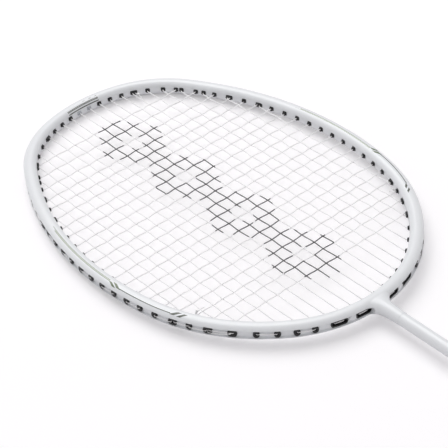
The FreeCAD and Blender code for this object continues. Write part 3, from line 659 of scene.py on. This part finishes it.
for node, grommets in groups.items():
    piece = join("round_" + node, grommets)
    piece.data.materials.clear()
    piece.data.materials.append(pale_nylon if node == "centre_grommets" else black_nylon)
    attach(piece, "root")
    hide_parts(node)


# --------------------------------------
# Strings
# Braided nylon with a clear sleeve, 0.7 mm thick. The crosses are woven over and under the mains, which
# give way to them, and both loop from hole to hole in the groove. A dark lattice is stencilled on the bed.
# --------------------------------------
WEAVE_LIFT = 0.5
GROOVE_LANE = 0.4
TAIL_LANE = 1.2
LOOP_STEP = 7.0
SOFT_BEND = 100.0
TIGHT_BEND = 0.7
KNOT_OFFSET = 0.95


def cross_mouths(number):
    """Both inner mouths of a cross, the right one first."""
    turn, lane = cross_hole(number)
    return [lane_point(side * turn, STRING_MOUTH, lane, 0.0) for side in (RIGHT, LEFT)]


def main_list():
    """Every main as (number from the middle, side), from the right edge to the left."""
    right = [(number, RIGHT) for number in range(OUTER_MAIN, -1, -1)]
    return right + [(number, LEFT) for number in range(OUTER_MAIN + 1)]


def groove_run(first, last, z):
    """Points along the groove between two wall angles, not counting its ends."""
    radius = arc_at((abs(first) + abs(last)) / 2)[2]
    steps = max(2, math.ceil(abs(last - first) * (radius + GROOVE_SEAT) / LOOP_STEP))
    step_turn = (last - first) / steps
    depth = (radius + GROOVE_SEAT) / math.cos(step_turn / 2) - radius
    return [(wall_point(first + step_turn * step, depth, z), SOFT_BEND) for step in range(1, steps)]


def lane_point(turn, depth, lane, z):
    return wall_point(turn, depth, z) + wall_tangent(turn) * lane


def main_mouth(number, side, at_throat):
    if in_twin(number, at_throat):
        return twin_passage(number, side)[0], TIGHT_BEND
    turn, lane = main_hole(number, at_throat)
    return lane_point(side * turn, STRING_MOUTH, lane, 0.0), TIGHT_BEND


def main_outlet(number, side, at_throat):
    if in_twin(number, at_throat):
        return twin_passage(number, side)[1], TIGHT_BEND
    turn, lane = main_hole(number, at_throat)
    return lane_point(side * turn, GROOVE_SEAT, lane, GROOVE_LANE), TIGHT_BEND


def tied_main_end(side):
    """Out at the last hole, along the groove, and in to the knot."""
    turn = side * cross_hole(MAIN_TIE_CROSS)[0]
    last = side * main_hole(OUTER_MAIN, True)[0]
    route = [main_outlet(OUTER_MAIN, side, True)] + groove_run(last, turn, GROOVE_LANE)
    for depth, z in ((GROOVE_SEAT, GROOVE_LANE), (-GROMMET_NIB, GROOVE_LANE),
                     (-GROMMET_NIB - KNOT_OFFSET, GROOVE_LANE + KNOT_OFFSET)):
        route.append((wall_point(turn, depth, z), TIGHT_BEND))
    return route


def crossing(index, cross):
    """Where a main, by its place in the list of mains, meets a cross, and whether the cross is on top."""
    main, side = main_list()[index]
    top = main_mouth(main, side, False)[0]
    bottom = main_mouth(main, side, True)[0]
    start, end = cross_mouths(cross)
    across = (end - start).normalized()
    along = (bottom - top).normalized()
    point = start + across * ((top - start).cross(along).z / across.cross(along).z)
    inside = min(point.y - start.y, end.y - point.y, top.x - point.x, point.x - bottom.x)
    return point if inside > STRING_RADIUS else None, 1 if (index + cross) % 2 == 0 else -1


def main_run(index, upward):
    """One main between its two mouths, pushed down or up a little by every cross."""
    main, side = main_list()[index]
    run = [main_mouth(main, side, False)]
    for cross in range(CROSS_COUNT):
        point, on_top = crossing(index, cross)
        if point:
            run.append((point + Vector((0, 0, -WEAVE_LIFT * on_top)), SOFT_BEND))
    run.append(main_mouth(main, side, True))
    return list(reversed(run)) if upward else run


def main_route():
    route = list(reversed(tied_main_end(RIGHT)))
    mains = main_list()
    for index, (number, side) in enumerate(mains):
        upward = index % 2 == 0
        route += main_run(index, upward)
        if index == len(mains) - 1:
            break
        following, following_side = mains[index + 1]
        route.append(main_outlet(number, side, not upward))
        if not (in_twin(number, not upward) and side == following_side):
            start = side * main_hole(number, not upward)[0]
            end = following_side * main_hole(following, not upward)[0]
            route += groove_run(start, end, GROOVE_LANE)
        route.append(main_outlet(following, following_side, not upward))
    return route + tied_main_end(LEFT)


def woven_run(number):
    """One cross from right to left, over and under every main that it meets."""
    start, end = cross_mouths(number)
    run = []
    for index in range(MAIN_COUNT):
        point, on_top = crossing(index, number)
        if point:
            run.append((point + Vector((0, 0, WEAVE_LIFT * on_top)), SOFT_BEND))
    for mouth, neighbour in ((start, run[0][0]), (end, run[-1][0])):
        mouth.z = -GROOVE_LANE if number == MAIN_TIE_CROSS else math.copysign(GROOVE_LANE, neighbour.z)
    return [(start, TIGHT_BEND)] + run + [(end, TIGHT_BEND)]


def cross_start():
    """In the groove from the knot in the long hole beside the tip to the first cross."""
    turn = -main_hole(LARGE_MAIN, False)[0]
    first = -cross_hole(0)[0]
    route = [(lane_point(turn, -GROMMET_NIB - KNOT_OFFSET, SHARED_SPREAD + KNOT_OFFSET, 0.0), TIGHT_BEND),
             (lane_point(turn, -GROMMET_NIB, SHARED_SPREAD, 0.0), TIGHT_BEND),
             (lane_point(turn, GROOVE_SEAT, SHARED_SPREAD, -GROOVE_LANE), TIGHT_BEND)]
    return route + groove_run(turn, first, -GROOVE_LANE)


def cross_outlet(number, side):
    turn, lane = cross_hole(number)
    return lane_point(side * turn, GROOVE_SEAT, lane, -GROOVE_LANE), TIGHT_BEND


def cross_finish():
    """Back along the groove from the last cross, and in to the knot."""
    last = cross_hole(LAST_CROSS)[0]
    turn = main_hole(CROSS_TIE_MAIN, True)[0]
    route = [cross_outlet(LAST_CROSS, LEFT)] + groove_run(last, turn, -TAIL_LANE)
    for depth, z in ((GROOVE_SEAT, -TAIL_LANE), (GROOVE_SEAT - 2 * STRING_RADIUS, -GROOVE_LANE),
                     (-GROMMET_NIB, -GROOVE_LANE), (-GROMMET_NIB - KNOT_OFFSET, -GROOVE_LANE - KNOT_OFFSET)):
        route.append((wall_point(turn, depth, z), TIGHT_BEND))
    return route


def cross_route():
    route = cross_start()
    for number in range(CROSS_COUNT):
        run = woven_run(number)
        side = RIGHT
        if number % 2 == 1:
            run.reverse()
            side = LEFT
        route += [cross_outlet(number, side)] + run
        if number < LAST_CROSS:
            route.append(cross_outlet(number, -side))
            turn, following = cross_hole(number)[0], cross_hole(number + 1)[0]
            route += groove_run(-side * turn, -side * following, -GROOVE_LANE)
    return route + cross_finish()


def bent(route):
    """The route with each corner rounded as far as its bend and its neighbours allow."""
    CORNER_STEPS = 4
    NEARLY_HALF = 0.48
    points = [route[0][0]]
    for before, (corner, reach), after in zip(route, route[1:], route[2:]):
        back = before[0] - corner
        ahead = after[0] - corner
        cut = min(reach, NEARLY_HALF * back.length, NEARLY_HALF * ahead.length)
        start = corner + back.normalized() * cut
        end = corner + ahead.normalized() * cut
        for step in range(CORNER_STEPS + 1):
            t = step / CORNER_STEPS
            points.append(start * (1 - t) ** 2 + corner * 2 * t * (1 - t) + end * t ** 2)
    return points + [route[-1][0]]


def strung(name, points, radius):
    """A round string along points."""
    curve = bpy.data.curves.new(name, "CURVE")
    curve.dimensions = "3D"
    curve.bevel_depth = radius * MM
    curve.bevel_resolution = 1
    curve.use_fill_caps = True
    line = curve.splines.new("POLY")
    line.points.add(len(points) - 1)
    for slot, point in zip(line.points, points):
        slot.co = (*(point * MM), 1)
    piece = bpy.data.objects.new(name, curve)
    bpy.context.collection.objects.link(piece)
    bpy.ops.object.select_all(action="DESELECT")
    piece.select_set(True)
    bpy.context.view_layer.objects.active = piece
    bpy.ops.object.convert(target="MESH")
    piece = bpy.context.object
    bpy.ops.object.shade_smooth_by_angle(angle=math.radians(60))
    return piece


def stencilled_nylon():
    """White nylon string, braided under a clear skin, with stencil ink dabbed on unevenly from above."""
    BRAID_UNIT = 2.7        # one unit of the wave texture, whose bands then lie about 1.7 mm apart
    INK_PATCH = 3.0
    MILKINESS = 0.5
    LATTICE_START = 438.0
    LATTICE_END = 643.0
    LOZENGES = 4
    LATTICE_HALF_WIDTH = 14.0
    STROKE = 15.0
    material, tree = blank_material("white_braided_nylon_with_stencil_ink")
    place = add(tree, "ShaderNodeTexCoord", {}).outputs["Object"]
    axes = add(tree, "ShaderNodeSeparateXYZ", {"Vector": place})
    half_length = (LATTICE_END - LATTICE_START) / 2
    half_period = half_length / LOZENGES
    along = add(tree, "ShaderNodeMath", {0: axes.outputs["X"], 1: LATTICE_START * MM}, operation="SUBTRACT")
    zigzag = add(tree, "ShaderNodeMath", {0: along, 1: half_period * MM}, operation="PINGPONG")
    height = add(tree, "ShaderNodeMath", {0: zigzag, 1: LATTICE_HALF_WIDTH / half_period},
                 operation="MULTIPLY")
    across = add(tree, "ShaderNodeMath", {0: axes.outputs["Y"]}, operation="ABSOLUTE")
    stroke = add(tree, "ShaderNodeMath", {0: across, 1: height, 2: STROKE / 2 * MM}, operation="COMPARE")
    middle = (LATTICE_START + LATTICE_END) / 2
    inside = add(tree, "ShaderNodeMath", {0: axes.outputs["X"], 1: middle * MM, 2: half_length * MM},
                 operation="COMPARE")
    shape = add(tree, "ShaderNodeMath", {0: stroke, 1: inside}, operation="MULTIPLY")
    dabs = add(tree, "ShaderNodeTexNoise", {"Vector": place, "Scale": 1 / (INK_PATCH * MM), "Detail": 3.0})
    cover = add(tree, "ShaderNodeMapRange",
                {"Value": dabs, "From Min": 0.3, "From Max": 0.7, "To Min": 0.82, "To Max": 1.0})
    ink = add(tree, "ShaderNodeMath", {0: shape, 1: cover}, operation="MULTIPLY")
    braid = add(tree, "ShaderNodeTexWave",
                {"Vector": place, "Scale": 1 / (BRAID_UNIT * MM), "Distortion": 2.0},
                bands_direction="DIAGONAL")
    nylon = add(tree, "ShaderNodeMix",
                {"Factor": braid.outputs["Fac"], "A": linear("#F6F5F7"), "B": linear("#FBFBFC")},
                data_type="RGBA")
    colour = add(tree, "ShaderNodeMix",
                 {"Factor": ink, "A": nylon, "B": linear("#1C1C1F")}, data_type="RGBA")
    bump = add(tree, "ShaderNodeBump",
               {"Height": braid.outputs["Fac"], "Strength": 0.3, "Distance": 0.03 * MM})
    milky = add(tree, "ShaderNodeMapRange", {"Value": ink, "To Min": 0.9, "To Max": 0.0})
    surface = add(tree, "ShaderNodeBsdfPrincipled", {
        "Base Color": colour, "Roughness": 0.4, "IOR": 1.53, "Coat Weight": 0.2,
        "Subsurface Weight": milky, "Subsurface Radius": (1, 1, 1),
        "Subsurface Scale": MILKINESS * MM, "Normal": bump})
    add(tree, "ShaderNodeOutputMaterial", {"Surface": surface})
    return material


string_nylon = stencilled_nylon()
for node, route in (("main_string", main_route()), ("cross_string", cross_route())):
    piece = strung("round_" + node, bent(route), STRING_RADIUS)
    piece.data.materials.append(string_nylon)
    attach(piece, "root")
    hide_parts(node)


# --------------------------------------
# Tie-off knots
# The four ends of the strings, each wound round itself, pulled tight against its grommet and cut short.
# The same braided nylon as the strings.
# --------------------------------------
def knotted(route, tail):
    """A tight coil at the end of a route, with a tail out of its middle."""
    KNOT_LENGTH = 1.6
    COIL_RADIUS = 0.5
    CORD_RADIUS = 0.33
    COIL_TURNS = 2.5
    COIL_STEPS = 30
    TAIL_LENGTH = 5.0
    start = route[-1][0]
    along = (start - route[-2][0]).normalized()
    across = along.cross(Vector((0, 0, 1))).normalized()
    upright = across.cross(along)
    coil = []
    for step in range(COIL_STEPS + 1):
        share = step / COIL_STEPS
        angle = 2 * math.pi * COIL_TURNS * share
        outwards = across * math.cos(angle) + upright * math.sin(angle)
        coil.append(start + along * (KNOT_LENGTH * share) + outwards * COIL_RADIUS)
    middle = start + along * (KNOT_LENGTH / 2)
    end = middle + tail.normalized() * TAIL_LENGTH
    return [strung("coil", coil, CORD_RADIUS), strung("tail", [middle, end], STRING_RADIUS)]


TAIL_RISE = Vector((0, 0, 0.5))
TAIL_LEAN = 0.3
cords = []
for side in (LEFT, RIGHT):
    turn = side * cross_hole(MAIN_TIE_CROSS)[0]
    cords += knotted(tied_main_end(side), wall_tangent(turn) - wall_normal(turn) + TAIL_RISE)
turn = -main_hole(LARGE_MAIN, False)[0]
cords += knotted(list(reversed(cross_start())), wall_tangent(turn) * TAIL_LEAN - wall_normal(turn))
turn = main_hole(CROSS_TIE_MAIN, True)[0]
cords += knotted(cross_finish(), -wall_tangent(turn) - wall_normal(turn) - TAIL_RISE)
piece = join("coiled_knots", cords)
piece.data.materials.clear()
piece.data.materials.append(string_nylon)
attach(piece, "root")
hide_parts("tie_off_knots")


# --------------------------------------
# Shaft and throat joint
# A round carbon tube lacquered to match the head, bonded into the neck over a dowel moulded from black
# glass filled resin.
# --------------------------------------
dress("shaft", gloss_lacquer("white_lacquer_on_shaft"))
dress("throat_joint", moulded_nylon("black_glass_filled_resin", "#17171A", "#232327"))


# --------------------------------------
# Handle core
# Eight-sided beech, milled and bored for the shaft, glued to it. All but its ends is under the grip.
# --------------------------------------
def milled_beech():
    """Oiled beech: straight grain along the handle, with short darker flecks."""
    RING_UNIT = 13.2        # one unit of the wave texture, whose rings then lie about 4.1 mm apart
    FLECK_LENGTH = 3.0
    material, tree = blank_material("milled_beech")
    place = add(tree, "ShaderNodeTexCoord", {}).outputs["Object"]
    drawn = add(tree, "ShaderNodeMapping", {"Vector": place, "Scale": (0.06, 1.0, 1.0)})
    rings = add(tree, "ShaderNodeTexWave",
                {"Vector": drawn, "Scale": 1 / (RING_UNIT * MM), "Distortion": 3.0, "Detail": 2.0},
                wave_type="RINGS", rings_direction="X")
    wood = add(tree, "ShaderNodeMix", {"Factor": rings.outputs["Fac"], "A": linear("#B98F62"),
                                       "B": linear("#CDAA7E")}, data_type="RGBA")
    short = add(tree, "ShaderNodeMapping", {"Vector": place, "Scale": (0.25, 1.0, 1.0)})
    flecks = add(tree, "ShaderNodeTexVoronoi", {"Vector": short, "Scale": 4 / (FLECK_LENGTH * MM)})
    fleck = add(tree, "ShaderNodeMapRange", {"Value": flecks, "From Max": 0.25, "To Min": 0.5, "To Max": 0.0})
    colour = add(tree, "ShaderNodeMix", {"Factor": fleck, "A": wood,
                                         "B": linear("#94693F")}, data_type="RGBA")
    bump = add(tree, "ShaderNodeBump",
               {"Height": rings.outputs["Fac"], "Strength": 0.25, "Distance": 0.04 * MM})
    surface = add(tree, "ShaderNodeBsdfPrincipled", {
        "Base Color": colour, "Roughness": 0.55, "Normal": bump})
    add(tree, "ShaderNodeOutputMaterial", {"Surface": surface})
    return material


dress("handle_core", milled_beech())


# --------------------------------------
# Butt cap
# Injection moulded ABS, slid over the end of the handle and tacked, with its moulded edges eased.
# --------------------------------------
def eased(node, width):
    """A copy of a piece as it was built, with its edges rounded, that stands in for it."""
    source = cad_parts[node]
    piece = bpy.data.objects.new("eased_" + node, source.data.copy())
    piece.data.transform(source.matrix_world)
    piece.data.materials.clear()
    bpy.context.collection.objects.link(piece)
    finish_mesh(piece, 30)
    bpy.ops.object.mode_set(mode="EDIT")
    bpy.ops.mesh.select_all(action="SELECT")
    bpy.ops.mesh.dissolve_limited(angle_limit=math.radians(1))
    bpy.ops.object.mode_set(mode="OBJECT")
    ease = piece.modifiers.new("ease", "BEVEL")
    ease.width = width * MM
    ease.segments = 3
    ease.limit_method = "ANGLE"
    ease.angle_limit = math.radians(22)
    bpy.ops.object.modifier_apply(modifier=ease.name)
    finish_mesh(piece, 30)
    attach(piece, "root")
    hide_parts(node)
    return piece


def moulded_abs(name, colour, worn):
    """Glossy ABS: a polished skin with faint flow marks and handling haze."""
    FLOW_MARK = 9.0
    HAZE_PATCH = 4.0
    material, tree = blank_material(name)
    place = add(tree, "ShaderNodeTexCoord", {}).outputs["Object"]
    flow = add(tree, "ShaderNodeTexNoise", {"Vector": place, "Scale": 1 / (FLOW_MARK * MM), "Detail": 2.0})
    mix = add(tree, "ShaderNodeMix", {"Factor": flow, "A": linear(colour), "B": linear(worn)},
              data_type="RGBA")
    haze = add(tree, "ShaderNodeTexNoise", {"Vector": place, "Scale": 1 / (HAZE_PATCH * MM), "Detail": 5.0})
    rough = add(tree, "ShaderNodeMapRange", {"Value": haze, "To Min": 0.18, "To Max": 0.34})
    bump = add(tree, "ShaderNodeBump", {"Height": flow, "Strength": 0.15, "Distance": 0.05 * MM})
    surface = add(tree, "ShaderNodeBsdfPrincipled", {
        "Base Color": mix, "Roughness": rough, "IOR": 1.54,
        "Normal": bump})
    add(tree, "ShaderNodeOutputMaterial", {"Surface": surface})
    return material


white_abs = moulded_abs("white_moulded_abs", "#EAEAEE", "#F0F0F3")
butt = eased("butt_cap", 0.5)
butt.data.materials.append(white_abs)


# --------------------------------------
# Cone cap
# The same white ABS, from the handle's eight sides to the round shaft, glued to both.
# --------------------------------------
cone = eased("cone_cap", 0.3)
cone.data.materials.append(white_abs)


# --------------------------------------
# Grip
# Soft black polyurethane tape with a felt back, wound in a spiral over the flare of the butt cap and up on
# to the cone cap. Its own glue holds it.
# --------------------------------------
HANDLE_WIDTH = 22.8
HANDLE_HEIGHT = 20.2
HANDLE_BEVEL = 5.6
GRIP_START = grip_low.x / MM
GRIP_END = grip_high.x / MM
CAP_END = 26.0
CAP_SLOPE_END = 29.0
GROWTH_AT_BUTT = 5.0
GROWTH_AT_CAP_END = 2.4
GROWTH_ON_CORE = 1.7
GRIP_OUTSIDE = ((GRIP_START, GROWTH_AT_BUTT), (CAP_END, GROWTH_AT_CAP_END),
                (CAP_SLOPE_END, GROWTH_ON_CORE), (GRIP_END, GROWTH_ON_CORE))
GRIP_THICKNESS = 1.62
GRIP_EDGE = 0.5
EDGE_STEP = 0.15
TAPE_PITCH = 22.0
SEAM_DEPTH = 0.55
SEAM_HALF_WIDTH = 0.9
ROW_LENGTH = 0.8
SIDES_ROUND = 56


def growth_at(x):
    """How far the grip's outside stands off the handle's flats."""
    for (start, first), (end, last) in zip(GRIP_OUTSIDE, GRIP_OUTSIDE[1:]):
        if x <= end:
            return first + (last - first) * (x - start) / (end - start)
    return GRIP_OUTSIDE[-1][1]


def eight_sided(angle, growth):
    """Reach of the handle's section at an angle, with soft corners."""
    CORNER = 26
    width = HANDLE_WIDTH / 2 + growth
    height = HANDLE_HEIGHT / 2 + growth
    slope_reach = (width + height - HANDLE_BEVEL - growth * (2 - math.sqrt(2))) / math.sqrt(2)
    total = 0
    for direction, reach in ((0, width), (90, height), (45, slope_reach), (135, slope_reach)):
        total += abs(math.cos(angle - math.radians(direction)) / reach) ** CORNER
    return total ** (-1 / CORNER)


def seam_dip(x, angle):
    """How far the tape sinks where two turns of the spiral meet."""
    turns = (x - GRIP_START) / TAPE_PITCH - angle / (2 * math.pi)
    away = abs(turns - round(turns)) * TAPE_PITCH
    return SEAM_DEPTH * math.exp(-(away / SEAM_HALF_WIDTH) ** 2)


wound_length = GRIP_END - GRIP_START - 2 * GRIP_EDGE
row_count = math.ceil(wound_length / ROW_LENGTH)
start_growth, end_growth = growth_at(GRIP_START), growth_at(GRIP_END)
GRIP_ROWS = [(GRIP_START, start_growth - GRIP_EDGE, 0), (GRIP_START + EDGE_STEP, start_growth - EDGE_STEP, 0)]
for step in range(row_count + 1):
    x = GRIP_START + GRIP_EDGE + wound_length * step / row_count
    GRIP_ROWS.append((x, growth_at(x), 1))
GRIP_ROWS += [(GRIP_END - EDGE_STEP, end_growth - EDGE_STEP, 0), (GRIP_END, end_growth - GRIP_EDGE, 0)]
GRIP_ROWS += [(x, growth - GRIP_THICKNESS, 0) for x, growth in reversed(GRIP_OUTSIDE)]
GRIP_ROWS.append(GRIP_ROWS[0])


def grip_point(along, across):
    x, growth, wound = GRIP_ROWS[round(along * (len(GRIP_ROWS) - 1))]
    angle = 2 * math.pi * across
    reach = eight_sided(angle, growth) - wound * seam_dip(x, angle)
    return Vector((x, reach * math.cos(angle), reach * math.sin(angle)))


def perforated_tape():
    """Tacky polyurethane: nearly black, matt, finely grained and pierced by rows of small dimples."""
    DIMPLE_PITCH = 2.4
    SKIN_GRAIN = 0.3
    RUBBED_PATCH = 14.0
    material, tree = blank_material("black_polyurethane_tape")
    place = add(tree, "ShaderNodeTexCoord", {}).outputs["Object"]
    dimples = add(tree, "ShaderNodeTexVoronoi", {"Vector": place,
                                                 "Scale": 1 / (DIMPLE_PITCH * MM), "Randomness": 0.0})
    pit = add(tree, "ShaderNodeMapRange", {"Value": dimples, "From Min": 0.12, "From Max": 0.22})
    grain = add(tree, "ShaderNodeTexNoise", {"Vector": place, "Scale": 1 / (SKIN_GRAIN * MM), "Detail": 3.0})
    rubbed = add(tree, "ShaderNodeTexNoise",
                 {"Vector": place, "Scale": 1 / (RUBBED_PATCH * MM), "Detail": 4.0})
    colour = add(tree, "ShaderNodeMix", {"Factor": rubbed, "A": linear("#121214"),
                                         "B": linear("#222225")}, data_type="RGBA")
    rough = add(tree, "ShaderNodeMapRange", {"Value": rubbed, "To Min": 0.5, "To Max": 0.72})
    fine = add(tree, "ShaderNodeBump", {"Height": grain, "Strength": 0.3, "Distance": 0.04 * MM})
    bump = add(tree, "ShaderNodeBump", {"Height": pit, "Strength": 0.7,
                                        "Distance": 0.25 * MM, "Normal": fine})
    surface = add(tree, "ShaderNodeBsdfPrincipled", {
        "Base Color": colour, "Roughness": rough, "Sheen Weight": 0.15,
        "Normal": bump})
    add(tree, "ShaderNodeOutputMaterial", {"Surface": surface})
    return material


grip = shaped_sheet("wound_grip", len(GRIP_ROWS) - 1, SIDES_ROUND, grip_point)
finish_mesh(grip, 40)
grip.data.materials.append(perforated_tape())
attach(grip, "root")
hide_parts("grip")


# --------------------------------------
# Grip band
# One turn of stretched black vinyl tape over the grip's front end.
# --------------------------------------
def stretched_vinyl():
    """Thin black vinyl: shiny, with fine lines across from its stretching."""
    STRETCH_LINE = 0.9
    material, tree = blank_material("black_vinyl_tape")
    place = add(tree, "ShaderNodeTexCoord", {}).outputs["Object"]
    drawn = add(tree, "ShaderNodeMapping", {"Vector": place, "Scale": (1.0, 0.15, 0.15)})
    lines = add(tree, "ShaderNodeTexNoise",
                {"Vector": drawn, "Scale": 1 / (STRETCH_LINE * MM), "Detail": 3.0})
    colour = add(tree, "ShaderNodeMix", {"Factor": lines, "A": linear("#0C0C0E"),
                                         "B": linear("#18181B")}, data_type="RGBA")
    bump = add(tree, "ShaderNodeBump", {"Height": lines, "Strength": 0.25, "Distance": 0.05 * MM})
    surface = add(tree, "ShaderNodeBsdfPrincipled", {
        "Base Color": colour, "Roughness": 0.28, "Normal": bump})
    add(tree, "ShaderNodeOutputMaterial", {"Surface": surface})
    return material


band = eased("grip_band", 0.1)
band.data.materials.append(stretched_vinyl())

low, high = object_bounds()
